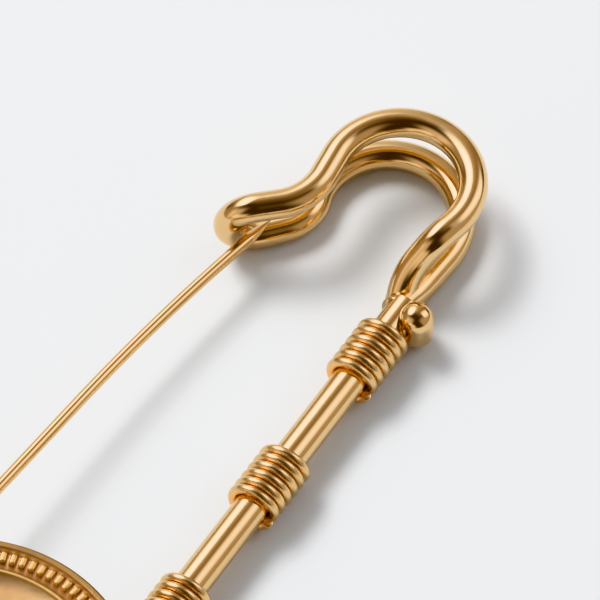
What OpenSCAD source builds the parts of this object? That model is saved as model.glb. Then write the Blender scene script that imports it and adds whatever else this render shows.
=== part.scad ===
// Safety pin brooch lying on its back: a thick rod with three wound coils, a keyhole-shaped
// catch of heavy wire at the head, a needle held in the catch, and a round medallion.
// Millimetres, +Z up. The origin is the centre of the back bar's flat underside, below the
// middle of the medallion. +Y runs along the rod towards the head, +X towards the rod.

/* [Rod] */
// Diameter of the straight rod
rod_d = 3.0; // [2.8:0.1:3.0]
// Distance of the rod's axis from the medallion's middle
rod_x = 8.46; // [8:0.1:9]
// Height of the rod's axis above the floor
rod_z = 2.38; // [2.38:0.01:2.45]
// Position of the rod's flat end at the head
rod_end_y = 55.3; // [55.1:0.02:55.4]
// Diameter of the stud soldered beside the rod's end
stud_d = 3.08; // [2.8:0.02:3.1]
// Height of the stud's rounded top
stud_top = 4.94; // [4.6:0.02:5.4]

/* [Catch wire] */
// Diameter of the heavy wire
wire_d = 2.58; // [2.4:0.02:2.6]
// Height of the upper leg's centre line
upper_z = 6.34; // [6.2:0.02:6.6]
// Radius of the upper leg's loop, to the centre line
upper_loop_r = 6.244; // [6.1:0.02:6.4]
// Radius of the lower leg's loop, to the centre line
lower_loop_r = 6.361; // [6.2:0.02:6.4]
// Length of the straight run from the neck to the bend at the tip
tip_run = 1.9; // [1.6:0.1:2.2]

/* [Coils] */
// Diameter of the coiled wire
coil_wire_d = 0.87; // [0.8:0.01:0.87]
// Distance from one turn to the next
coil_pitch = 0.945; // [0.9:0.005:1]
// Number of turns in each coil
coil_turns = 6; // [4:1:7]
// Distance from one coil to the next
coil_spacing = 15.25; // [14.5:0.05:15.5]
// Gap between the rod and the coils
coil_gap = 0.03; // [0.02:0.01:0.03]

/* [Needle] */
// Diameter of the needle
needle_d = 1.04; // [0.8:0.02:1.1]
// Length of the needle's ground point
point_length = 3.0; // [2:0.5:5]
// Diameter of the hinge post that the needle turns on
post_d = 1.4; // [1.2:0.1:1.6]
// Running gap between the post and the needle's eye
post_gap = 0.04; // [0.03:0.01:0.08]

/* [Medallion] */
// Diameter of the medallion
medallion_d = 29.5; // [29:0.1:29.8]
// Height of the rim's top above the floor
rim_top = 8.2; // [8.1:0.1:8.6]
// Width of the plain rim
rim_w = 0.65; // [0.4:0.05:0.8]
// Depth of the field inside the rim
field_depth = 0.4; // [0.2:0.05:0.6]
// Number of plain bars in the border
bar_count = 96; // [60:4:108]

/* [Hidden] */
$fn = 18;
wire_r = wire_d / 2;
rod_r = rod_d / 2;
coil_ring_r = rod_r + coil_gap + coil_wire_d / 2 - 0.02;
coil_head_y = 49.0;
lower_z = wire_r;

// Upper leg: loop centre, its first and last angle, straight neck and inward bend.
upper_centre = [2.514, 63.425];
upper_first = -12.51;
upper_last = 186.787;
neck_length = 2.367;
neck_r = 5.24;
tip_heading = 223.2;

// Lower leg: the same, with no straight neck and a slight bend before the tip. Its loop
// opens into a wider arc towards the rod.
lower_centre = [1.678, 62.818];
lower_first = 30;
lower_wide_r = 7.89;
lower_wide_end = -3.1;
lower_last = 199.2;
lower_neck_r = 3.80;
lower_heading = 229.4;
lower_bend_r = 8;

// The upper leg bends down to the rod's end, and the lower leg rises into the rod.
drop_start = 1.813;
drop_r = 2.6;
drop_corner = [rod_x - 1.548, rod_end_y + 2.289, 3.33];
drop_wide_r = 7.2;
drop_end = [rod_x - 1.056, rod_end_y + 0.423, 1.4];
rise_start = 2.8;
rise_r = 8;
rise_angle = 18.3;

// Straight wire is a hair thinner than the bends and reaches a little way into them.
straight_r = wire_r - 0.004;
reach_in = 0.1;
bend_trim = 0.01;

// Medallion seat, back bar, hinge and needle.
medallion_back = 6.7;
seat_gap = 0.05;
bar_top = medallion_back - seat_gap;
bar_left = -14.7;
bar_right = 11.2;
bar_half_width = 3.2;
bar_step_x = -7.75;
step_top = 4.9;
hinge_x = -10.8;
hinge_y = 1.3;
eye_r = 1.75;
eye_low = 5.15;
eye_high = 6.35;
post_top = 6.5;
needle_root_z = 5.72;
needle_corner = [-8.27, 41, 3.997];
needle_tip = [-5.8, 55.9, 3.35];
needle_bow_r = 214;
needle_straight_r = needle_d / 2 - 0.004;
point_r = 0.05;

// Unit vector at an angle in the floor plane.
function heading(angle) = [cos(angle), sin(angle)];

// Point on a circle of the floor plane.
function on_circle(centre, radius, angle) = centre + radius * heading(angle);

// A vector of length one.
function unit(vector) = vector / norm(vector);

// How far before its corner a rounded bend between two directions begins.
function corner_cut(arriving, leaving, radius) = radius * tan(acos(arriving * leaving) / 2);

// A floor-plane point lifted to a height.
function lifted(point, height) = [point[0], point[1], height];

// The neck runs at a right angle to the loop's last radius, and the inward bend's centre
// lies beyond it on that radius.
upper_neck_end = on_circle(upper_centre, upper_loop_r, upper_last)
    + neck_length * heading(upper_last + 90);
upper_bend = upper_neck_end + neck_r * heading(upper_last);
upper_turn = upper_last + 90 - tip_heading;
upper_run = on_circle(upper_bend, neck_r, upper_last - 180 - upper_turn);
upper_tip = upper_run + tip_run * heading(tip_heading);

lower_bend = on_circle(lower_centre, lower_loop_r + lower_neck_r, lower_last);
lower_turn = lower_last + 90 - lower_heading;
lower_run = on_circle(lower_bend, lower_neck_r, lower_last - 180 - lower_turn);

// The slight bend at the end of the lower leg turns it parallel to the upper one. Its
// straight run is as long as brings both legs level with each other at the tip.
slight_turn = lower_heading - tip_heading;
slight_length = lower_bend_r * sin(slight_turn);
slight_side = lower_bend_r * (1 - cos(slight_turn));
along_gap = (upper_tip - lower_run) * heading(tip_heading);
lower_straight = (along_gap - slight_length) / cos(slight_turn);
lower_run_end = lower_run + lower_straight * heading(lower_heading);
slight_centre = lower_run_end + lower_bend_r * heading(lower_heading - 90);
lower_tip = on_circle(slight_centre, lower_bend_r, tip_heading + 90);

// The bend at the tip is half a circle between the two leg ends.
tip_side = (upper_tip - lower_tip) * heading(tip_heading - 90);
tip_rise = upper_z - lower_z;
tip_r = norm([tip_side, tip_rise]) / 2;
tip_lean = atan2(tip_side, tip_rise);
tip_middle = (upper_tip + lower_tip) / 2;

// Right-hand side: the upper leg runs level, bends down, bends sideways in a wide arc and
// ends against the rod's end.
upper_start = on_circle(upper_centre, upper_loop_r, upper_first);
upper_side = upper_first - 90;
drop_first = lifted(upper_start + drop_start * heading(upper_side), upper_z);
level_way = lifted(heading(upper_side), 0);
steep_way = unit(drop_corner - drop_first);
last_way = unit(drop_end - drop_corner);
down_cut = corner_cut(level_way, steep_way, drop_r);
side_cut = corner_cut(steep_way, last_way, drop_wide_r);

// The lower leg runs level along the rod's line, bends up and ends inside the rod.
lower_wide_centre = on_circle(lower_centre, lower_loop_r - lower_wide_r, lower_first);
lower_start = on_circle(lower_wide_centre, lower_wide_r, lower_wide_end);
lower_side = lower_wide_end - 90;
rise_low = lower_start + rise_start * heading(lower_side);
rise_mid = rise_low + rise_r * sin(rise_angle) * heading(lower_side);
rise_mid_z = lower_z + rise_r * (1 - cos(rise_angle));
rise_end = rise_mid + (rod_z - rise_mid_z) / tan(rise_angle) * heading(lower_side);

// Wire along an arc in the floor plane.
module flat_arc(centre, radius, from, sweep, height) {
    trim = asin(bend_trim / radius);
    translate(lifted(centre, height))
        rotate([0, 0, from + trim])
            rotate_extrude(angle = sweep - 2 * trim, $fn = 40)
                translate([radius, 0])
                    circle(r = wire_r);
}

// Wire along an arc in an upright plane that runs in a heading and leans to one side.
// Angles count from the heading upwards.
module upright_arc(centre, direction, lean, radius, from, sweep) {
    trim = asin(bend_trim / radius);
    translate(centre)
        rotate([0, 0, direction])
            rotate([90 + lean, 0, 0])
                rotate([0, 0, from + trim])
                    rotate_extrude(angle = sweep - 2 * trim, $fn = 40)
                        translate([radius, 0])
                            circle(r = wire_r);
}

// Wire round a corner between two directions in space. A wide bend gets more steps.
module rounded_corner(corner, arriving, leaving, radius, thick_r = wire_r) {
    turn = acos(arriving * leaving);
    inward = unit(leaving - (arriving * leaving) * arriving);
    centre = corner - corner_cut(arriving, leaving, radius) * arriving + radius * inward;
    axis = cross(arriving, inward);
    trim = asin(bend_trim / radius);
    multmatrix([
        [-inward[0], arriving[0], axis[0], centre[0]],
        [-inward[1], arriving[1], axis[1], centre[1]],
        [-inward[2], arriving[2], axis[2], centre[2]],
        [0, 0, 0, 1]
    ])
        rotate([0, 0, trim])
            rotate_extrude(angle = turn - 2 * trim, $fn = 40 * ceil(radius / 20))
                translate([radius, 0])
                    circle(r = thick_r, $fn = 40);
}

// Straight wire from one point to another, which reaches into the bends at both ends.
module straight_wire(from, to, thick_r = straight_r) {
    along = to - from;
    across = norm([along[0], along[1]]);
    translate(from)
        rotate([0, atan2(across, along[2]), atan2(along[1], along[0])])
            translate([0, 0, -reach_in])
                cylinder(h = norm(along) + 2 * reach_in, r = thick_r);
}

// Core that joins two bends where one follows the other.
module joint_core(point, direction, height) {
    half = bend_trim * heading(direction);
    straight_wire(lifted(point - half, height), lifted(point + half, height));
}

module upper_leg() {
    loop_end = on_circle(upper_centre, upper_loop_r, upper_last);
    flat_arc(upper_centre, upper_loop_r, upper_first, upper_last - upper_first, upper_z);
    straight_wire(lifted(loop_end, upper_z), lifted(upper_neck_end, upper_z));
    flat_arc(upper_bend, neck_r, upper_last - 180 - upper_turn, upper_turn, upper_z);
    straight_wire(lifted(upper_run, upper_z), lifted(upper_tip, upper_z));
    straight_wire(lifted(upper_start, upper_z), drop_first - down_cut * level_way);
    rounded_corner(drop_first, level_way, steep_way, drop_r);
    straight_wire(drop_first + down_cut * steep_way, drop_corner - side_cut * steep_way);
    rounded_corner(drop_corner, steep_way, last_way, drop_wide_r);
    straight_wire(drop_corner + side_cut * last_way, drop_end);
}

module lower_leg() {
    loop_end = on_circle(lower_centre, lower_loop_r, lower_last);
    flat_arc(lower_centre, lower_loop_r, lower_first, lower_last - lower_first, lower_z);
    joint_core(on_circle(lower_centre, lower_loop_r, lower_first), lower_first + 90, lower_z);
    flat_arc(lower_wide_centre, lower_wide_r, lower_wide_end, lower_first - lower_wide_end,
        lower_z);
    joint_core(loop_end, lower_last + 90, lower_z);
    flat_arc(lower_bend, lower_neck_r, lower_last - 180 - lower_turn, lower_turn, lower_z);
    straight_wire(lifted(lower_run, lower_z), lifted(lower_run_end, lower_z));
    flat_arc(slight_centre, lower_bend_r, tip_heading + 90, slight_turn, lower_z);
    joint_core(lower_tip, tip_heading, lower_z);
    straight_wire(lifted(lower_start, lower_z), lifted(rise_low, lower_z));
    upright_arc(lifted(rise_low, lower_z + rise_r), lower_side, 0, rise_r,
        -90, rise_angle);
    straight_wire(lifted(rise_mid, rise_mid_z), lifted(rise_end, rod_z));
}

module tip_bend() {
    upright_arc(lifted(tip_middle, (upper_z + lower_z) / 2), tip_heading, tip_lean, tip_r,
        -90, 180);
}

module stud() {
    stud_r = stud_d / 2;
    low = stud_r + 0.18;
    high = stud_top - stud_r;
    translate([rod_x + 1.78, rod_end_y - 1.27, 0]) {
        translate([0, 0, low])
            sphere(r = stud_r);
        translate([0, 0, low])
            cylinder(h = high - low, r = stud_r);
        translate([0, 0, high])
            sphere(r = stud_r);
    }
}

module pin_frame() {
    color("Goldenrod") {
        translate([rod_x, -bar_half_width, rod_z])
            rotate([-90, 0, 0])
                cylinder(h = rod_end_y + bar_half_width, r = rod_r);
        upper_leg();
        lower_leg();
        tip_bend();
        stud();
    }
}

// A coil: rings side by side on a thin sleeve that joins them, with one true bore.
module coil(middle_y) {
    half = coil_pitch * (coil_turns - 1) / 2;
    color("Gold")
        translate([rod_x, middle_y, rod_z])
            rotate([-90, 0, 0])
                difference() {
                    union() {
                        for (turn = [0 : coil_turns - 1])
                            translate([0, 0, turn * coil_pitch - half])
                                rotate_extrude($fn = 48)
                                    translate([coil_ring_r, 0])
                                        circle(r = coil_wire_d / 2);
                        translate([0, 0, -half])
                            cylinder(h = 2 * half, r = coil_ring_r);
                    }
                    cylinder(h = 4 * half, r = rod_r + coil_gap, center = true, $fn = 48);
                }
}

module coil_head() {
    coil(coil_head_y);
}

module coil_middle() {
    coil(coil_head_y - coil_spacing);
}

module coil_medallion() {
    coil(coil_head_y - 2 * coil_spacing);
}

// Needle: a slightly bowed shaft that slopes down to its point, and a flat eye round the post.
module needle() {
    root = [hinge_x, hinge_y, needle_root_z];
    first_way = unit(needle_corner - root);
    last_way = unit(needle_tip - needle_corner);
    bow_cut = corner_cut(first_way, last_way, needle_bow_r);
    bow_start = needle_corner - bow_cut * first_way;
    bow_end = needle_corner + bow_cut * last_way;
    point_start = needle_tip - point_length * last_way;
    across = norm([last_way[0], last_way[1]]);
    color("Gold")
        difference() {
            union() {
                straight_wire(root, bow_start, needle_straight_r);
                rounded_corner(needle_corner, first_way, last_way, needle_bow_r, needle_d / 2);
                straight_wire(bow_end, point_start - reach_in * last_way, needle_straight_r);
                translate(point_start)
                    rotate([0, atan2(across, last_way[2]), atan2(last_way[1], last_way[0])])
                        cylinder(h = point_length, r1 = needle_straight_r, r2 = point_r);
                translate([hinge_x, hinge_y, eye_low])
                    cylinder(h = eye_high - eye_low, r = eye_r);
            }
            translate([hinge_x, hinge_y, eye_low - 1])
                cylinder(h = eye_high - eye_low + 2, r = post_d / 2 + post_gap);
        }
}

// Medallion: a plate turned from one outline, with a ring of plain bars in its border.
module medallion() {
    edge = medallion_d / 2;
    field = rim_top - field_depth;
    border = edge - rim_w;
    ledge = 0.25;
    bar_length = 1.15;
    bar_width = 0.6;
    bar_place = border - bar_length - 0.2;
    color("DarkGoldenrod") {
        rotate_extrude($fn = 160)
            polygon([
                [0, medallion_back],
                [edge - ledge, medallion_back],
                [edge, medallion_back + ledge],
                [edge, rim_top - ledge / 2],
                [edge - ledge / 2, rim_top],
                [border, rim_top],
                [border, field],
                [bar_place - 0.5, field],
                [bar_place - 0.5, field + field_depth / 2],
                [bar_place - 1.0, field + field_depth / 2],
                [bar_place - 1.0, field],
                [0, field]
            ]);
        for (bar = [0 : bar_count - 1])
            rotate([0, 0, bar * 360 / bar_count])
                translate([bar_place, -bar_width / 2, field - field_depth])
                    cube([bar_length, bar_width, field_depth + 0.2]);
    }
}

// Back bar: a plain bar with a bore for the rod, and a lower step with the hinge post.
module back_bar() {
    width = 2 * bar_half_width;
    color("Goldenrod") {
        difference() {
            translate([bar_left, -bar_half_width, 0])
                cube([bar_right - bar_left, width, bar_top]);
            translate([bar_left - 1, -bar_half_width - 1, step_top])
                cube([bar_step_x - bar_left + 1, width + 2, bar_top]);
            translate([rod_x, -bar_half_width - 1, rod_z])
                rotate([-90, 0, 0])
                    cylinder(h = width + 2, r = rod_r + coil_gap);
        }
        translate([hinge_x, hinge_y, step_top - 1])
            cylinder(h = post_top - step_top + 1, r = post_d / 2);
    }
}

pin_frame();
coil_head();
coil_middle();
coil_medallion();
needle();
medallion();
back_bar();
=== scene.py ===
import bpy
import numpy as np
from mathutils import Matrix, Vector


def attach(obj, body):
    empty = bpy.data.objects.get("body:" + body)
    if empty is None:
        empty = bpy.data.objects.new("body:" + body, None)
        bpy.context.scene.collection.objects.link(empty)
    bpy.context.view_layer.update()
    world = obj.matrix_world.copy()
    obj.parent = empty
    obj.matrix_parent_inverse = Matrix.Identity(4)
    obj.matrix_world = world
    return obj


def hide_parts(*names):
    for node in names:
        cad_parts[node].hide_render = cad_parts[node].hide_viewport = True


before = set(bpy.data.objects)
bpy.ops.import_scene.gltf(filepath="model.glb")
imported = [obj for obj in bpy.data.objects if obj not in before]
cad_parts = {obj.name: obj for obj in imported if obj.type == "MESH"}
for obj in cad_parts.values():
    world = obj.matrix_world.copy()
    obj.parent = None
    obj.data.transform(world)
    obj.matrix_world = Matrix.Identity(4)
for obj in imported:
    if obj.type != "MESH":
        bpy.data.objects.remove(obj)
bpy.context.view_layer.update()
millimetre = 0.001
scene = bpy.context.scene


def unit(vectors):
    # each vector divided by its own length
    return vectors / np.linalg.norm(vectors, axis=-1, keepdims=True)


def headingOf(degrees):
    # (cos a, sin a) for a floor-plane angle a
    angle = np.radians(np.asarray(degrees, float))
    return np.stack([np.cos(angle), np.sin(angle)], -1)


def addMesh(name, points, faces, material, body, node=None, smooth=True):
    # vertices in millimetres * 0.001 become a mesh in metres, which rides on a body
    mesh = bpy.data.meshes.new(name)
    mesh.from_pydata((np.asarray(points) * millimetre).tolist(), [], faces)
    mesh.validate()
    mesh.polygons.foreach_set("use_smooth", [smooth] * len(mesh.polygons))
    mesh.update()
    thing = bpy.data.objects.new(name, mesh)
    scene.collection.objects.link(thing)
    thing.data.materials.append(material)
    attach(thing, body)
    if node:
        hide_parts(node)
    return thing


def gridFaces(rows, columns, ring=False):
    # quads of a grid whose columns close on themselves, and its rows too where it is a ring
    steps = rows if ring else rows - 1
    row, column = np.meshgrid(np.arange(steps), np.arange(columns), indexing="ij")
    after, below = (column + 1) % columns, (row + 1) % rows
    quads = np.stack([row * columns + column, row * columns + after,
                      below * columns + after, below * columns + column], -1)
    return quads.reshape(-1, 4).tolist()


def carryCircle(path, side, radii, sides):
    # ring = point + radius * (cos t * side + sin t * up), with up = tangent x side,
    # and a pole point that closes each end
    tangent = unit(np.gradient(path, axis=0))
    side = unit(side - np.sum(side * tangent, -1, keepdims=True) * tangent)
    up = np.cross(tangent, side)
    turn = np.linspace(0, 2 * np.pi, sides, endpoint=False)[None, :, None]
    rings = path[:, None] + radii[:, None, None] * (
        np.cos(turn) * side[:, None] + np.sin(turn) * up[:, None])
    points = np.vstack([rings.reshape(-1, 3), path[:1], path[-1:]])
    faces = gridFaces(len(path), sides)
    first, last = len(path) * sides, len(path) * sides + 1
    around = np.arange(sides)
    after = (around + 1) % sides
    base = (len(path) - 1) * sides
    faces += np.stack([np.full(sides, first), after, around], -1).tolist()
    faces += np.stack([np.full(sides, last), base + around, base + after], -1).tolist()
    return points, faces


def turnProfile(profile, steps, centre=(0, 0), ring=False):
    # (radius, height) rows spun about an upright axis
    radius, height = np.asarray(profile, float).T
    angle = np.linspace(0, 2 * np.pi, steps, endpoint=False)
    rings = np.stack([centre[0] + radius[:, None] * np.cos(angle),
                      centre[1] + radius[:, None] * np.sin(angle),
                      np.repeat(height[:, None], steps, 1)], -1)
    return rings.reshape(-1, 3), gridFaces(len(radius), steps, ring)


def closedTurn(profile, steps, centre=(0, 0)):
    # a spun profile with a pole, at radius 0, that closes its first and its last row
    points, faces = turnProfile(profile, steps, centre)
    low, high = len(points), len(points) + 1
    around = np.arange(steps)
    after = (around + 1) % steps
    base = (len(profile) - 1) * steps
    faces = faces + np.stack([np.full(steps, low), after, around], -1).tolist()
    faces = faces + np.stack([np.full(steps, high), base + around, base + after], -1).tolist()
    ends = [[centre[0], centre[1], profile[0][1]], [centre[0], centre[1], profile[-1][1]]]
    return np.vstack([points, ends]), faces


camera = {
    "target": (0.66, 50.45, 3.0),
    "place": (269.16, -359.7, 757.8),
    "sensor": 36.0,
    "lens": 630.0,
    "nearest": 50,
    "farthest": 20000,
}
cameraData = bpy.data.cameras.new("camera")
cameraData.sensor_width = camera["sensor"]
cameraData.lens = camera["lens"]
cameraData.clip_start = camera["nearest"] * millimetre
cameraData.clip_end = camera["farthest"] * millimetre
cameraObject = bpy.data.objects.new("camera", cameraData)
scene.collection.objects.link(cameraObject)
cameraObject.location = Vector(camera["place"]) * millimetre
lookAlong = (Vector(camera["target"]) - Vector(camera["place"])).normalized()
cameraObject.rotation_mode = "QUATERNION"
cameraObject.rotation_quaternion = lookAlong.to_track_quat("-Z", "Y")
scene.camera = cameraObject
scene.view_settings.view_transform = "Khronos PBR Neutral"
print("camera placed")


# The studio is a dim room with soft panels, given as patches of the sky. A patch's place is
# (a, b) = angle from overhead, in degrees, times (cos, sin) of its bearing from +X.
studio = {
    "room": (0.050, (1.0, 0.56, 0.40)),
    "patches": [
        # name, place (a, b), half sizes, softness on each axis, radiance, tint
        ("keyPanel", (-40.5, 12), (10, 21), (13, 14), 9.0, (0.96, 1.04, 1.20)),
        ("farLeftWall", (-47, 42), (26, 38), (23, 20), 0.84, (1.0, 0.94, 0.86)),
        ("rightPanel", (32.5, 43), (11, 21), (17, 9), 2.5, (1.0, 1.05, 1.20)),
        ("rightWall", (72, 19), (35, 44), (16, 14), 0.51, (1.0, 0.86, 0.74)),
        ("farWall", (2, 49), (20, 43), (4, 23), 0.33, (1.0, 0.78, 0.60)),
        ("nearLeftWall", (-68, -48), (36, 40), (14, 14), 0.41, (1.0, 0.82, 0.62)),
        ("nearPanel", (-24, -57), (25, 20), (14, 12), 0.75, (1.0, 0.90, 0.86)),
        ("nearLowPanel", (8, -82), (30, 12), (10, 7), 1.05, (1.0, 0.91, 0.78)),
    ],
}


def patchGroup():
    # light = tint * radiance * smooth(|A - a|) * smooth(|B - b|), where smooth falls from
    # 1 at (half size - softness) to 0 at (half size + softness)
    group = bpy.data.node_groups.new("studioPatch", "ShaderNodeTree")
    for label in ("A", "B", "PlaceA", "PlaceB", "HalfA", "HalfB", "SoftA", "SoftB", "Radiance"):
        group.interface.new_socket(label, in_out="INPUT", socket_type="NodeSocketFloat")
    group.interface.new_socket("Tint", in_out="INPUT", socket_type="NodeSocketColor")
    group.interface.new_socket("Light", in_out="OUTPUT", socket_type="NodeSocketColor")
    given, made = group.nodes.new("NodeGroupInput"), group.nodes.new("NodeGroupOutput")
    link = group.links.new

    def joined(operation, first, second):
        # operation(first, second) of two sockets
        node = group.nodes.new("ShaderNodeMath")
        node.operation = operation
        link(first, node.inputs[0])
        link(second, node.inputs[1])
        return node.outputs[0]

    strength = given.outputs["Radiance"]
    for axis in ("A", "B"):
        half, soft = given.outputs["Half" + axis], given.outputs["Soft" + axis]
        away = group.nodes.new("ShaderNodeMath")
        away.operation = "ABSOLUTE"
        link(joined("SUBTRACT", given.outputs[axis], given.outputs["Place" + axis]),
             away.inputs[0])
        fall = group.nodes.new("ShaderNodeMapRange")
        fall.interpolation_type = "SMOOTHSTEP"
        fall.inputs["To Min"].default_value = 1.0
        fall.inputs["To Max"].default_value = 0.0
        link(away.outputs[0], fall.inputs["Value"])
        link(joined("SUBTRACT", half, soft), fall.inputs["From Min"])
        link(joined("ADD", half, soft), fall.inputs["From Max"])
        strength = joined("MULTIPLY", fall.outputs["Result"], strength)
    coloured = group.nodes.new("ShaderNodeVectorMath")
    coloured.operation = "SCALE"
    link(given.outputs["Tint"], coloured.inputs["Vector"])
    link(strength, coloured.inputs["Scale"])
    link(coloured.outputs["Vector"], made.inputs["Light"])
    return group


def studioWorld():
    # bearing vector (x, y) / |(x, y)| times the angle from overhead gives (a, b)
    world = bpy.data.worlds.new("studio")
    world.use_nodes = True
    nodes, link = world.node_tree.nodes, world.node_tree.links.new
    place = nodes.new("ShaderNodeTexCoord")
    parts = nodes.new("ShaderNodeSeparateXYZ")
    link(place.outputs["Generated"], parts.inputs["Vector"])

    def math(operation, first, second=None):
        # operation(first, second), where each is a socket or a plain value
        node = nodes.new("ShaderNodeMath")
        node.operation = operation
        for socket, value in zip(node.inputs, (first, second)):
            if isinstance(value, (int, float)):
                socket.default_value = value
            elif value is not None:
                link(value, socket)
        return node.outputs[0]

    x, y, z = (parts.outputs[label] for label in "XYZ")
    level = math("SQRT", math("ADD", math("MULTIPLY", x, x), math("MULTIPLY", y, y)))
    angle = math("DEGREES", math("ARCTAN2", level, z))
    share = math("DIVIDE", angle, math("MAXIMUM", level, 0.0001))
    across, along = math("MULTIPLY", x, share), math("MULTIPLY", y, share)
    radiance, tint = studio["room"]
    total = nodes.new("ShaderNodeVectorMath")
    total.inputs[0].default_value = [radiance * part for part in tint]
    group = patchGroup()
    for name, middle, half, soft, radiance, tint in studio["patches"]:
        patch = nodes.new("ShaderNodeGroup")
        patch.node_tree = group
        patch.label = name
        link(across, patch.inputs["A"])
        link(along, patch.inputs["B"])
        for label, pair in (("Place", middle), ("Half", half), ("Soft", soft)):
            patch.inputs[label + "A"].default_value = pair[0]
            patch.inputs[label + "B"].default_value = pair[1]
        patch.inputs["Radiance"].default_value = radiance
        patch.inputs["Tint"].default_value = (*tint, 1)
        link(patch.outputs["Light"], total.inputs[1])
        following = nodes.new("ShaderNodeVectorMath")
        link(total.outputs["Vector"], following.inputs[0])
        total = following
    background = nodes["Background"]
    link(total.outputs["Vector"], background.inputs["Color"])
    scene.world = world


# The lamps add to the panels' light on the surface, and are not seen in the metal.
lamps = [
    {"name": "keyLamp", "way": (-0.66, 0.16, 0.74), "distance": 800, "size": 310,
     "power": 3.05, "colour": (1.0, 0.97, 0.86)},
    {"name": "fillLamp", "way": (0.10, -0.10, 1.0), "distance": 1600, "size": 2400,
     "power": 6.2, "colour": (0.48, 0.80, 0.90)},
]


def placeLamp(given):
    # the lamp stands at target + distance * way, and faces the target
    lamp = bpy.data.lights.new(given["name"], "AREA")
    lamp.size = given["size"] * millimetre
    lamp.energy = given["power"]
    lamp.color = given["colour"]
    thing = bpy.data.objects.new(given["name"], lamp)
    scene.collection.objects.link(thing)
    way = Vector(given["way"]).normalized()
    thing.location = (Vector(camera["target"]) + given["distance"] * way) * millimetre
    thing.rotation_mode = "QUATERNION"
    thing.rotation_quaternion = way.to_track_quat("Z", "Y")
    thing.visible_glossy = False


studioWorld()
for lamp in lamps:
    placeLamp(lamp)
print("lights placed")


def newGroup(name, inputs, output, socketType):
    # a node group with float inputs and one output of the given socket type
    group = bpy.data.node_groups.new(name, "ShaderNodeTree")
    for label, value in inputs:
        socket = group.interface.new_socket(label, in_out="INPUT", socket_type="NodeSocketFloat")
        socket.default_value = value
    group.interface.new_socket(output, in_out="OUTPUT", socket_type=socketType)
    return group, group.nodes.new("NodeGroupInput"), group.nodes.new("NodeGroupOutput")


# Shared plating: the noise in its rub marks, its drift between two tones and its relief.
plating = {
    "marks": {"detail": 6.0, "roughness": 0.62, "from": 0.35, "to": 0.7},
    "tones": {"detail": 3.0, "from": 0.3, "to": 0.7, "scale": 120.0, "depth": 0.5,
              "light": (0.775, 0.535, 0.262, 1), "deep": (0.755, 0.495, 0.225, 1)},
    "relief": {"broad": 260.0, "fine": 2600.0, "share": 0.15},
    "coatRoughness": 0.08,
}


def handlingGroup():
    # rub marks: roughness + amount * noise, with the noise stretched to 0 ... 1 first
    look = plating["marks"]
    group, given, made = newGroup(
        "handlingMarks", [("Roughness", 0.12), ("Amount", 0.06), ("Scale", 900.0)],
        "Roughness", "NodeSocketFloat")
    coordinates = group.nodes.new("ShaderNodeTexCoord")
    noise = group.nodes.new("ShaderNodeTexNoise")
    noise.inputs["Detail"].default_value = look["detail"]
    noise.inputs["Roughness"].default_value = look["roughness"]
    spread = group.nodes.new("ShaderNodeMapRange")
    spread.inputs["From Min"].default_value = look["from"]
    spread.inputs["From Max"].default_value = look["to"]
    scaled = group.nodes.new("ShaderNodeMath")
    scaled.operation = "MULTIPLY_ADD"
    link = group.links.new
    link(coordinates.outputs["Object"], noise.inputs["Vector"])
    link(given.outputs["Scale"], noise.inputs["Scale"])
    link(noise.outputs["Fac"], spread.inputs["Value"])
    link(spread.outputs["Result"], scaled.inputs[0])
    link(given.outputs["Amount"], scaled.inputs[1])
    link(given.outputs["Roughness"], scaled.inputs[2])
    link(scaled.outputs["Value"], made.inputs["Roughness"])
    return group


def toneGroup():
    # colour = light + depth * noise * (deep - light), with the noise stretched to 0 ... 1
    look = plating["tones"]
    group, given, made = newGroup(
        "platingTone", [("Scale", look["scale"]), ("Depth", look["depth"])],
        "Color", "NodeSocketColor")
    coordinates = group.nodes.new("ShaderNodeTexCoord")
    noise = group.nodes.new("ShaderNodeTexNoise")
    noise.inputs["Detail"].default_value = look["detail"]
    spread = group.nodes.new("ShaderNodeMapRange")
    spread.inputs["From Min"].default_value = look["from"]
    spread.inputs["From Max"].default_value = look["to"]
    scaled = group.nodes.new("ShaderNodeMath")
    scaled.operation = "MULTIPLY"
    mix = group.nodes.new("ShaderNodeMix")
    mix.data_type = "RGBA"
    mix.inputs["A"].default_value = look["light"]
    mix.inputs["B"].default_value = look["deep"]
    link = group.links.new
    link(coordinates.outputs["Object"], noise.inputs["Vector"])
    link(given.outputs["Scale"], noise.inputs["Scale"])
    link(noise.outputs["Fac"], spread.inputs["Value"])
    link(spread.outputs["Result"], scaled.inputs[0])
    link(given.outputs["Depth"], scaled.inputs[1])
    link(scaled.outputs["Value"], mix.inputs["Factor"])
    link(mix.outputs["Result"], made.inputs["Color"])
    return group


def unevenGroup():
    # height of a slightly uneven plated surface: broad noise + share * fine noise
    look = plating["relief"]
    group, given, made = newGroup(
        "unevenPlating", [("Broad", look["broad"]), ("Fine", look["fine"])],
        "Height", "NodeSocketFloat")
    coordinates = group.nodes.new("ShaderNodeTexCoord")
    broad = group.nodes.new("ShaderNodeTexNoise")
    fine = group.nodes.new("ShaderNodeTexNoise")
    scaled = group.nodes.new("ShaderNodeMath")
    scaled.operation = "MULTIPLY_ADD"
    scaled.inputs[1].default_value = look["share"]
    link = group.links.new
    link(coordinates.outputs["Object"], broad.inputs["Vector"])
    link(coordinates.outputs["Object"], fine.inputs["Vector"])
    link(given.outputs["Broad"], broad.inputs["Scale"])
    link(given.outputs["Fine"], fine.inputs["Scale"])
    link(fine.outputs["Fac"], scaled.inputs[0])
    link(broad.outputs["Fac"], scaled.inputs[2])
    link(scaled.outputs["Value"], made.inputs["Height"])
    return group


handling = handlingGroup()
tone = toneGroup()
uneven = unevenGroup()

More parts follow.
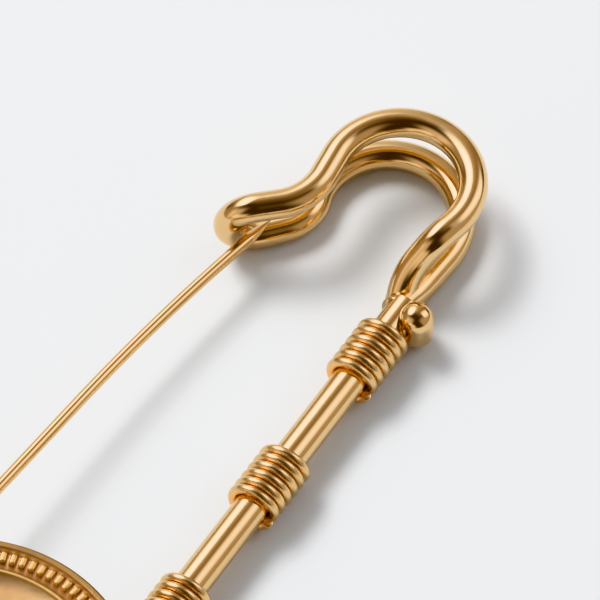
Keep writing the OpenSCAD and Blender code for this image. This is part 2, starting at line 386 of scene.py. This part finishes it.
# The metals: base roughness, rub marks, grain of the marks, relief in millimetres, clear coat.
metals = {
    "polished": {"roughness": 0.13, "rub": 0.05, "grain": 900.0, "relief": 0.006, "coat": 0.25},
    "wound": {"roughness": 0.24, "rub": 0.06, "grain": 900.0, "relief": 0.010, "coat": 0.20,
              # deep orange, painted as the warm shade between the coil's turns
              "grooveShade": (0.96, 0.52, 0.19, 1)},
    "antique": {"roughness": 0.34, "rub": 0.09, "grain": 700.0, "relief": 0.05, "coat": 0.0,
                # the recess colour is painted warm shade at the foot of the relief
                "footShade": (0.90, 0.56, 0.27, 1), "rim": (0.36, 0.205, 0.08, 1),
                "crown": (0.87, 0.55, 0.21, 1)},
}


def metalMaterial(name, look):
    # plated metal with rub marks and a faint relief; its colour is linked afterwards
    material = bpy.data.materials.new(name)
    material.use_nodes = True
    nodes, link = material.node_tree.nodes, material.node_tree.links.new
    surface = nodes["Principled BSDF"]
    surface.inputs["Metallic"].default_value = 1.0
    if look["coat"]:
        surface.inputs["Coat Weight"].default_value = look["coat"]
        surface.inputs["Coat Roughness"].default_value = plating["coatRoughness"]
    marks = nodes.new("ShaderNodeGroup")
    marks.node_tree = handling
    marks.inputs["Roughness"].default_value = look["roughness"]
    marks.inputs["Amount"].default_value = look["rub"]
    marks.inputs["Scale"].default_value = look["grain"]
    relief = nodes.new("ShaderNodeGroup")
    relief.node_tree = uneven
    bump = nodes.new("ShaderNodeBump")
    bump.inputs["Distance"].default_value = look["relief"] * millimetre
    link(marks.outputs["Roughness"], surface.inputs["Roughness"])
    link(relief.outputs["Height"], bump.inputs["Height"])
    link(bump.outputs["Normal"], surface.inputs["Normal"])
    return material, nodes, link, surface


def goldMaterial(name, look):
    # the colour drifts between the two plating tones, and where the look has a groove colour it
    # turns to that as the groove attribute nears 1: painted warm shade deep between coil turns
    material, nodes, link, surface = metalMaterial(name, look)
    drift = nodes.new("ShaderNodeGroup")
    drift.node_tree = tone
    link(drift.outputs["Color"], surface.inputs["Base Color"])
    if "grooveShade" in look:
        grooveShade = nodes.new("ShaderNodeAttribute")
        grooveShade.attribute_name = "grooveShade"
        mix = nodes.new("ShaderNodeMix")
        mix.data_type = "RGBA"
        mix.inputs["B"].default_value = look["grooveShade"]
        link(grooveShade.outputs["Fac"], mix.inputs["Factor"])
        link(drift.outputs["Color"], mix.inputs["A"])
        link(mix.outputs["Result"], surface.inputs["Base Color"])
    return material


def antiqueMaterial(name, look):
    # the relief attribute picks the colour: 0 in a recess and at the foot of a bar, painted warm
    # orange shade there, 0.5 on the plain rim and 1 on the crown of a bar
    material, nodes, link, surface = metalMaterial(name, look)
    height = nodes.new("ShaderNodeAttribute")
    height.attribute_name = "relief"
    ramp = nodes.new("ShaderNodeValToRGB")
    ramp.color_ramp.elements[0].color = look["footShade"]
    ramp.color_ramp.elements[1].color = look["crown"]
    ramp.color_ramp.elements.new(0.5).color = look["rim"]
    link(height.outputs["Fac"], ramp.inputs["Fac"])
    link(ramp.outputs["Color"], surface.inputs["Base Color"])
    return material


polished = goldMaterial("polishedGold", metals["polished"])
woundGold = goldMaterial("woundGold", metals["wound"])
antique = antiqueMaterial("antiqueGold", metals["antique"])
print("materials made")


def paint(thing, name, values):
    # one float for each vertex, under a name that the material reads
    layer = thing.data.attributes.new(name, "FLOAT", "POINT")
    layer.data.foreach_set("value", np.asarray(values, np.float32))


rod = {"x": 8.46, "z": 2.38, "radius": 1.5, "start": -3.2, "end": 55.3, "edge": 0.12,
       "edgeRings": 7, "step": 1.0, "sides": 72}


def roundedEnds(length, radius, edge, step):
    # distance along a bar and its radius there; at both ends the edge is a quarter round,
    # distance = edge (1 - cos t), radius = R - edge + edge sin t
    bend = np.linspace(0, np.pi / 2, rod["edgeRings"])
    lead = edge * (1 - np.cos(bend))
    rise = radius - edge + edge * np.sin(bend)
    middle = np.arange(edge + step, length - edge, step)
    along = np.concatenate([lead, middle, (length - lead)[::-1]])
    wide = np.concatenate([rise, np.full(len(middle), radius), rise[::-1]])
    return along, wide


along, wide = roundedEnds(rod["end"] - rod["start"], rod["radius"], rod["edge"], rod["step"])
path = np.stack([np.full_like(along, rod["x"]), rod["start"] + along,
                 np.full_like(along, rod["z"])], -1)
side = np.tile([1.0, 0, 0], (len(path), 1))
points, faces = carryCircle(path, side, wide, rod["sides"])
addMesh("rod", points, faces, polished, "brooch", "pin_frame")

stud = {"x": 10.24, "y": 54.03, "radius": 1.54, "low": 1.72, "high": 3.40, "rings": 41,
        "sides": 64}
# two half balls, one about each height: (R cos t, height + R sin t)
climb = np.radians(np.linspace(-90, 90, stud["rings"]))
profile = np.stack([stud["radius"] * np.cos(climb), stud["radius"] * np.sin(climb)
                    + np.where(climb < 0, stud["low"], stud["high"])], -1)
points, faces = closedTurn(profile[1:-1], stud["sides"], (stud["x"], stud["y"]))
addMesh("stud", points, faces, polished, "brooch", "pin_frame")
print("rod and stud made")


catch = {
    "radius": 1.29,
    "sides": 56,
    "step": 0.22,
    "upper": {"z": 6.34, "centre": (2.514, 63.425), "loop": 6.244, "first": -12.51,
              "last": 186.787, "neck": 2.367, "inward": 5.24, "run": 1.9},
    "lower": {"z": 1.29, "centre": (1.678, 62.818), "loop": 6.361, "first": 30.0,
              "wide": 7.89, "wideEnd": -3.1, "last": 199.2, "inward": 3.80,
              "towards": 229.4, "ease": 8.0},
    "tipHeading": 223.2,
    "drop": {"start": 1.813, "radius": 2.6, "corner": (6.912, 57.589, 3.33), "wide": 7.2,
             "end": (7.404, 55.723, 1.4)},
    "rise": {"start": 2.8, "radius": 8.0, "angle": 18.3},
}


def linePoints(start, end):
    # evenly spaced points of a straight run, without its last point
    start, end = np.asarray(start, float), np.asarray(end, float)
    count = max(int(np.linalg.norm(end - start) / catch["step"]), 2)
    share = np.linspace(0, 1, count, endpoint=False)[:, None]
    return start + share * (end - start)


def flatArc(centre, radius, first, last, height):
    # points of an arc in the floor plane, without its last point
    count = max(int(radius * np.radians(abs(last - first)) / catch["step"]), 3)
    turn = np.linspace(first, last, count, endpoint=False)
    flat = np.asarray(centre) + radius * headingOf(turn)
    return np.column_stack([flat, np.full(count, height)])


def uprightArc(centre, forward, lift, radius, first, last):
    # centre + radius * (cos a * forward + sin a * lift), without its last point
    count = max(int(radius * np.radians(abs(last - first)) / catch["step"]), 4)
    turn = np.radians(np.linspace(first, last, count, endpoint=False))[:, None]
    return np.asarray(centre) + radius * (np.cos(turn) * forward + np.sin(turn) * lift)


def spaceCorner(corner, arriving, leaving, radius):
    # bend between two directions: centre - R cos t * inward + R sin t * arriving
    turn = np.arccos(arriving @ leaving)
    cut = radius * np.tan(turn / 2)
    inward = unit(leaving - (arriving @ leaving) * arriving)
    centre = corner - cut * arriving + radius * inward
    angle = np.linspace(0, turn, max(int(radius * turn / catch["step"]), 6))[:, None]
    return centre - radius * (np.cos(angle) * inward - np.sin(angle) * arriving), cut


def at(flat, height):
    # a floor-plane point or direction with its height added
    return np.append(flat, height)


def catchPath():
    # from the rod's end up the drop, round the upper loop, through the tip bend, and back
    # round the lower loop into the rod; each bend starts where the one before it ends, its
    # centre lies at a right angle to the run, and a heading is kept where a run is straight
    upper, lower = catch["upper"], catch["lower"]
    drop, rise = catch["drop"], catch["rise"]
    tip = catch["tipHeading"]
    high, low = upper["z"], lower["z"]
    upperCentre, lowerCentre = np.array(upper["centre"]), np.array(lower["centre"])

    upperStart = upperCentre + upper["loop"] * headingOf(upper["first"])
    upperSide = headingOf(upper["first"] - 90)
    dropFirst = at(upperStart + drop["start"] * upperSide, high)
    dropCorner, dropEnd = np.array(drop["corner"]), np.array(drop["end"])
    levelWay = at(upperSide, 0)
    steepWay, lastWay = unit(dropCorner - dropFirst), unit(dropEnd - dropCorner)
    downBend, downCut = spaceCorner(dropFirst, levelWay, steepWay, drop["radius"])
    sideBend, sideCut = spaceCorner(dropCorner, steepWay, lastWay, drop["wide"])
    upperLoopEnd = upperCentre + upper["loop"] * headingOf(upper["last"])
    neckEnd = upperLoopEnd + upper["neck"] * headingOf(upper["last"] + 90)
    upperBend = neckEnd + upper["inward"] * headingOf(upper["last"])
    upperTurn = upper["last"] + 90 - tip
    upperRun = upperBend + upper["inward"] * headingOf(upper["last"] - 180 - upperTurn)
    upperTip = upperRun + upper["run"] * headingOf(tip)

    lowerBend = lowerCentre + (lower["loop"] + lower["inward"]) * headingOf(lower["last"])
    lowerTurn = lower["last"] + 90 - lower["towards"]
    lowerRun = lowerBend + lower["inward"] * headingOf(lower["last"] - 180 - lowerTurn)
    slight = lower["towards"] - tip
    reach = lower["ease"] * np.sin(np.radians(slight))
    straight = ((upperTip - lowerRun) @ headingOf(tip) - reach) / np.cos(np.radians(slight))
    lowerRunEnd = lowerRun + straight * headingOf(lower["towards"])
    slightCentre = lowerRunEnd + lower["ease"] * headingOf(lower["towards"] - 90)
    lowerTip = slightCentre + lower["ease"] * headingOf(tip + 90)

    wideCentre = lowerCentre + (lower["loop"] - lower["wide"]) * headingOf(lower["first"])
    lowerStart = wideCentre + lower["wide"] * headingOf(lower["wideEnd"])
    lowerSide = headingOf(lower["wideEnd"] - 90)
    riseLow = lowerStart + rise["start"] * lowerSide
    climb = np.radians(rise["angle"])
    riseMid = riseLow + rise["radius"] * np.sin(climb) * lowerSide
    riseMidZ = low + rise["radius"] * (1 - np.cos(climb))
    riseEnd = riseMid + (rod["z"] - riseMidZ) / np.tan(climb) * lowerSide

    upright = np.array([0.0, 0, 1])
    tipHigh, tipLow = at(upperTip, high), at(lowerTip, low)
    lift = unit(tipHigh - tipLow)
    tipRadius = np.linalg.norm(tipHigh - tipLow) / 2
    forward, lowerAlong = at(headingOf(tip), 0), at(lowerSide, 0)
    parts = [
        (linePoints(dropEnd, dropCorner + sideCut * lastWay), None),
        (sideBend[:0:-1], None),
        (linePoints(dropCorner - sideCut * steepWay, dropFirst + downCut * steepWay), None),
        (downBend[:0:-1], None),
        (linePoints(dropFirst - downCut * levelWay, at(upperStart, high)), None),
        (flatArc(upperCentre, upper["loop"], upper["first"], upper["last"], high), None),
        (linePoints(at(upperLoopEnd, high), at(neckEnd, high)), upper["last"] + 90),
        (flatArc(upperBend, upper["inward"], upper["last"] - 180,
                 upper["last"] - 180 - upperTurn, high), None),
        (linePoints(at(upperRun, high), tipHigh), tip),
        (uprightArc((tipHigh + tipLow) / 2, forward, lift, tipRadius, 90, -90), tip),
        (flatArc(slightCentre, lower["ease"], tip + 90, lower["towards"] + 90, low), None),
        (linePoints(at(lowerRunEnd, low), at(lowerRun, low)), lower["towards"]),
        (flatArc(lowerBend, lower["inward"], lower["last"] - 180 - lowerTurn,
                 lower["last"] - 180, low), None),
        (flatArc(lowerCentre, lower["loop"], lower["last"], lower["first"], low), None),
        (flatArc(wideCentre, lower["wide"], lower["first"], lower["wideEnd"], low), None),
        (linePoints(at(lowerStart, low), at(riseLow, low)), lower["wideEnd"] - 90),
        (uprightArc(at(riseLow, low + rise["radius"]), lowerAlong, upright, rise["radius"],
                    -90, -90 + rise["angle"]), lower["wideEnd"] - 90),
        (linePoints(at(riseMid, riseMidZ), at(riseEnd, rod["z"])), lower["wideEnd"] - 90),
    ]
    points = np.vstack([rows for rows, _ in parts] + [at(riseEnd, rod["z"])])
    headings = np.full(len(points), np.nan)
    place = 0
    for rows, angle in parts:
        if angle is not None:
            headings[place:place + len(rows)] = angle
        place += len(rows)
    return points, headings


def wireSides(points, headings):
    # the sideways direction of each ring: level, and at a right angle to the wire's run
    tangent = np.gradient(points, axis=0)
    flat = np.degrees(np.arctan2(tangent[:, 1], tangent[:, 0]))
    level = np.stack([-np.sin(np.radians(flat)), np.cos(np.radians(flat)),
                      np.zeros(len(flat))], -1)
    known = ~np.isnan(headings)
    given = np.radians(headings)
    fixed = np.stack([-np.sin(given), np.cos(given), np.zeros(len(given))], -1)
    chosen = np.where(known[:, None], fixed, level)
    # the side never flips from one ring to the next
    steps = np.sum(chosen[1:] * chosen[:-1], -1)
    flips = np.concatenate([[1.0], np.where(steps < 0, -1.0, 1.0)])
    return chosen * np.cumprod(flips)[:, None]


catchPoints, catchHeadings = catchPath()
points, faces = carryCircle(catchPoints, wireSides(catchPoints, catchHeadings),
                            np.full(len(catchPoints), catch["radius"]), catch["sides"])
addMesh("catchWire", points, faces, polished, "brooch", "pin_frame")
print("catch wire made, rings:", len(catchPoints))


coil = {
    "wire": 0.435, "ring": 1.95, "pitch": 0.945, "first": -3.72, "last": 2.45,
    "middle": -0.5, "perTurn": 72, "sides": 28,
    # the cut ends: how far along the edge each ring lies, and its share of the wire
    "edge": 0.08, "endPlace": (0, 0.15, 0.5, 1.0), "endSize": (0.80, 0.90, 0.97, 1.0),
    # the painted warm shade in the groove between turns, in wire radii: where it ends and how
    # fast it deepens
    "grooveTop": 0.6, "grooveDepth": 0.7,
    "rows": [("coilHead", "coil_head", 49.0), ("coilMiddle", "coil_middle", 33.75),
             ("coilMedallion", "coil_medallion", 18.5)],
}


def coilMesh(middleY):
    # helix: x = R sin 2 pi u, z = R cos 2 pi u, y = middle + pitch (u - uMiddle)
    count = int((coil["last"] - coil["first"]) * coil["perTurn"])
    turn = np.linspace(coil["first"], coil["last"], count)
    lead = np.array(coil["endPlace"]) * (coil["edge"] / (2 * np.pi * coil["ring"]))
    turn = np.concatenate([coil["first"] + lead, turn[2:-2], (coil["last"] - lead)[::-1]])
    angle = 2 * np.pi * turn
    out = np.stack([np.sin(angle), np.zeros_like(angle), np.cos(angle)], -1)
    path = coil["ring"] * out
    path[:, 0] += rod["x"]
    path[:, 1] = middleY + coil["pitch"] * (turn - coil["middle"])
    path[:, 2] += rod["z"]
    radii = np.full(len(turn), coil["wire"])
    radii[:len(lead)] *= coil["endSize"]
    radii[-len(lead):] *= coil["endSize"][::-1]
    return carryCircle(path, out, radii, coil["sides"])


def grooveShadeOf(points):
    # share of painted groove shade = (ring + top * wire - distance from the rod's axis) / (depth
    # * wire), in 0 ... 1
    away = np.hypot(points[:, 0] - rod["x"], points[:, 2] - rod["z"])
    depth = coil["ring"] + coil["grooveTop"] * coil["wire"] - away
    return np.clip(depth / (coil["grooveDepth"] * coil["wire"]), 0, 1)


for name, node, middleY in coil["rows"]:
    points, faces = coilMesh(middleY)
    thing = addMesh(name, points, faces, woundGold, "brooch", node)
    # paint warm shade into the grooves between the turns
    paint(thing, "grooveShade", grooveShadeOf(points))
print("coils made")


needle = {
    "root": (-10.8, 1.3, 5.72), "corner": (-8.27, 41.0, 3.997), "bow": 214.0,
    "tip": (-5.8, 55.9, 3.35), "start": 1.2, "radius": 0.52, "sides": 40, "every": 6,
    "point": 3.0, "pointRings": 26, "pointEnd": 0.985, "pointPower": 1.6,
}
root, bowCorner, tipPoint = (np.array(needle[key]) for key in ("root", "corner", "tip"))
firstWay, lastWay = unit(bowCorner - root), unit(tipPoint - bowCorner)
bow, bowCut = spaceCorner(bowCorner, firstWay, lastWay, needle["bow"])
pointStart = tipPoint - needle["point"] * lastWay
# the shaft is nearly straight, so one ring in six is enough
every = needle["every"]
shaft = np.concatenate([
    linePoints(root + needle["start"] * firstWay, bowCorner - bowCut * firstWay)[::every],
    bow[:-1:every],
    linePoints(bowCorner + bowCut * lastWay, pointStart)[::every],
])
# the point narrows along a smooth ogive: r = R (1 - s^1.6)
share = np.linspace(0, needle["pointEnd"], needle["pointRings"])
path = np.concatenate([shaft, pointStart + needle["point"] * share[:, None] * lastWay])
radii = needle["radius"] * np.concatenate([np.ones(len(shaft)),
                                           1 - share ** needle["pointPower"]])
side = unit(np.cross(np.gradient(path, axis=0), [0, 0, 1.0]))
points, faces = carryCircle(path, side, radii, needle["sides"])
addMesh("needleShaft", points, faces, polished, "needle", "needle")

eye = {"out": 1.75, "in": 0.74, "low": 5.15, "high": 6.35, "edge": 0.15, "sides": 64}
edge, eyeIn, eyeOut, low, high = (eye[key] for key in ("edge", "in", "out", "low", "high"))
# radius and height round the eye's cross-section, which is a rectangle without corners
profile = [
    (eyeIn, low + edge), (eyeIn + edge, low), (eyeOut - edge, low), (eyeOut, low + edge),
    (eyeOut, high - edge), (eyeOut - edge, high), (eyeIn + edge, high), (eyeIn, high - edge),
]
points, faces = turnProfile(profile, eye["sides"], needle["root"][:2], ring=True)
addMesh("needleEye", points, faces, polished, "needle", "needle", smooth=False)
print("needle made")


medallion = {"radius": 14.75, "back": 6.7, "top": 8.2, "rim": 0.65, "field": 7.8, "edge": 0.25,
             "ledgeOut": 12.25, "ledgeIn": 11.75, "pole": 0.02, "sides": 240}
top, field, edge, back = (medallion[key] for key in ("top", "field", "edge", "back"))
outer, inner = medallion["radius"], medallion["radius"] - medallion["rim"]
ledgeOut, ledgeIn, pole = (medallion[key] for key in ("ledgeOut", "ledgeIn", "pole"))
ledgeTop = (top + field) / 2
# radius, height, relief: the back, the rounded rim, the slope inside it, the ledge, the field
outline = np.array([
    (pole, back, 0.5), (outer - edge, back, 0.5),
    (outer - 0.3 * edge, back + 0.3 * edge, 0.5), (outer, back + edge, 0.5),
    (outer, top - 0.16, 0.5), (outer - 0.02, top - 0.08, 0.5), (outer - 0.08, top - 0.02, 0.5),
    (outer - 0.16, top, 0.5), (outer - 0.24, top, 0.5), (inner + 0.16, top, 0.5),
    (inner + 0.08, top - 0.01, 0.5), (inner + 0.02, top - 0.05, 0.45),
    (inner, top - 0.10, 0.3), (inner - 0.10, field + 0.16, 0.0),
    (inner - 0.22, field + 0.04, 0.0), (inner - 0.36, field, 0.0),
    (ledgeOut + 0.08, field, 0.1), (ledgeOut, field + 0.08, 0.4),
    (ledgeOut - 0.08, ledgeTop, 0.8), (ledgeIn + 0.08, ledgeTop, 0.8),
    (ledgeIn, field + 0.08, 0.4), (ledgeIn - 0.08, field, 0.2),
    (10, field, 0.3), (6, field, 0.3), (3, field, 0.3), (pole, field, 0.3),
])
points, faces = closedTurn(outline[:, :2], medallion["sides"])
plate = addMesh("medallionPlate", points, faces, antique, "brooch", "medallion")
poles = outline[[0, -1], 2]
# relief 0 at the foot of the rim's inner wall paints warm shade there
paint(plate, "relief", np.append(np.repeat(outline[:, 2], medallion["sides"]), poles))

border = {"count": 96, "in": 12.75, "out": 13.90, "width": 0.66, "rise": 0.44, "sink": 0.05,
          "rows": 13, "columns": 21}
# a ring of plain pillow-shaped bars: rise = sqrt((1 - across^4) (1 - lengthwise^6))
across, lengthwise = np.meshgrid(np.linspace(-1, 1, border["rows"]),
                                 np.linspace(-1, 1, border["columns"]), indexing="ij")
crown = (np.clip(1 - across ** 4, 0, 1) * np.clip(1 - lengthwise ** 6, 0, 1)) ** 0.5
barMiddle, barHalf = (border["in"] + border["out"]) / 2, (border["out"] - border["in"]) / 2
bar = np.stack([barMiddle + lengthwise * barHalf, across * border["width"] / 2,
                field - border["sink"] + border["rise"] * crown], -1).reshape(-1, 3)
# each bar is the first one turned: (x cos a - y sin a, x sin a + y cos a, z)
spin = np.linspace(0, 2 * np.pi, border["count"], endpoint=False)[:, None]
bars = np.stack([bar[:, 0] * np.cos(spin) - bar[:, 1] * np.sin(spin),
                 bar[:, 0] * np.sin(spin) + bar[:, 1] * np.cos(spin),
                 np.repeat(bar[None, :, 2], len(spin), 0)], -1).reshape(-1, 3)
spots = np.arange(across.size).reshape(across.shape)
quads = np.stack([spots[:-1, :-1], spots[:-1, 1:], spots[1:, 1:], spots[1:, :-1]], -1)
# one face round the rim closes each bar's underside
under = np.concatenate([spots[:, 0], spots[-1, 1:], spots[-2::-1, -1], spots[0, -2:0:-1]])
shift = (np.arange(len(spin)) * len(bar))[:, None]
faces = (quads.reshape(1, -1, 4) + shift[..., None]).reshape(-1, 4).tolist()
faces += (under + shift).tolist()
barRing = addMesh("medallionBorder", bars, faces, antique, "brooch", "medallion")
# a bar's colour runs from painted warm shade at its foot through the rim's dark tone to bright
# gold on its crown
paint(barRing, "relief", np.tile(crown.reshape(-1), len(spin)))
print("medallion made")


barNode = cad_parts["back_bar"]
barNode.data.materials.clear()
barNode.data.materials.append(polished)

floor = {"half": 3000, "roughness": 0.9, "specular": 0.1, "scale": 3.0,
         "tones": ((0.765, 0.765, 0.765, 1), (0.79, 0.79, 0.785, 1))}
floorMaterial = bpy.data.materials.new("whiteSurface")
floorMaterial.use_nodes = True
nodes, link = floorMaterial.node_tree.nodes, floorMaterial.node_tree.links.new
floorSurface = nodes["Principled BSDF"]
floorSurface.inputs["Roughness"].default_value = floor["roughness"]
floorSurface.inputs["Specular IOR Level"].default_value = floor["specular"]
floorNoise = nodes.new("ShaderNodeTexNoise")
floorNoise.inputs["Scale"].default_value = floor["scale"]
floorTone = nodes.new("ShaderNodeMix")
floorTone.data_type = "RGBA"
floorTone.inputs["A"].default_value, floorTone.inputs["B"].default_value = floor["tones"]
link(floorNoise.outputs["Fac"], floorTone.inputs["Factor"])
link(floorTone.outputs["Result"], floorSurface.inputs["Base Color"])
corners = np.array([[-1, -1, 0], [1, -1, 0], [1, 1, 0], [-1, 1, 0.0]])
floorMesh = bpy.data.meshes.new("floor")
floorMesh.from_pydata((corners * floor["half"] * millimetre).tolist(), [], [(0, 1, 2, 3)])
floorObject = bpy.data.objects.new("floor", floorMesh)
scene.collection.objects.link(floorObject)
floorObject.data.materials.append(floorMaterial)
print("floor made")
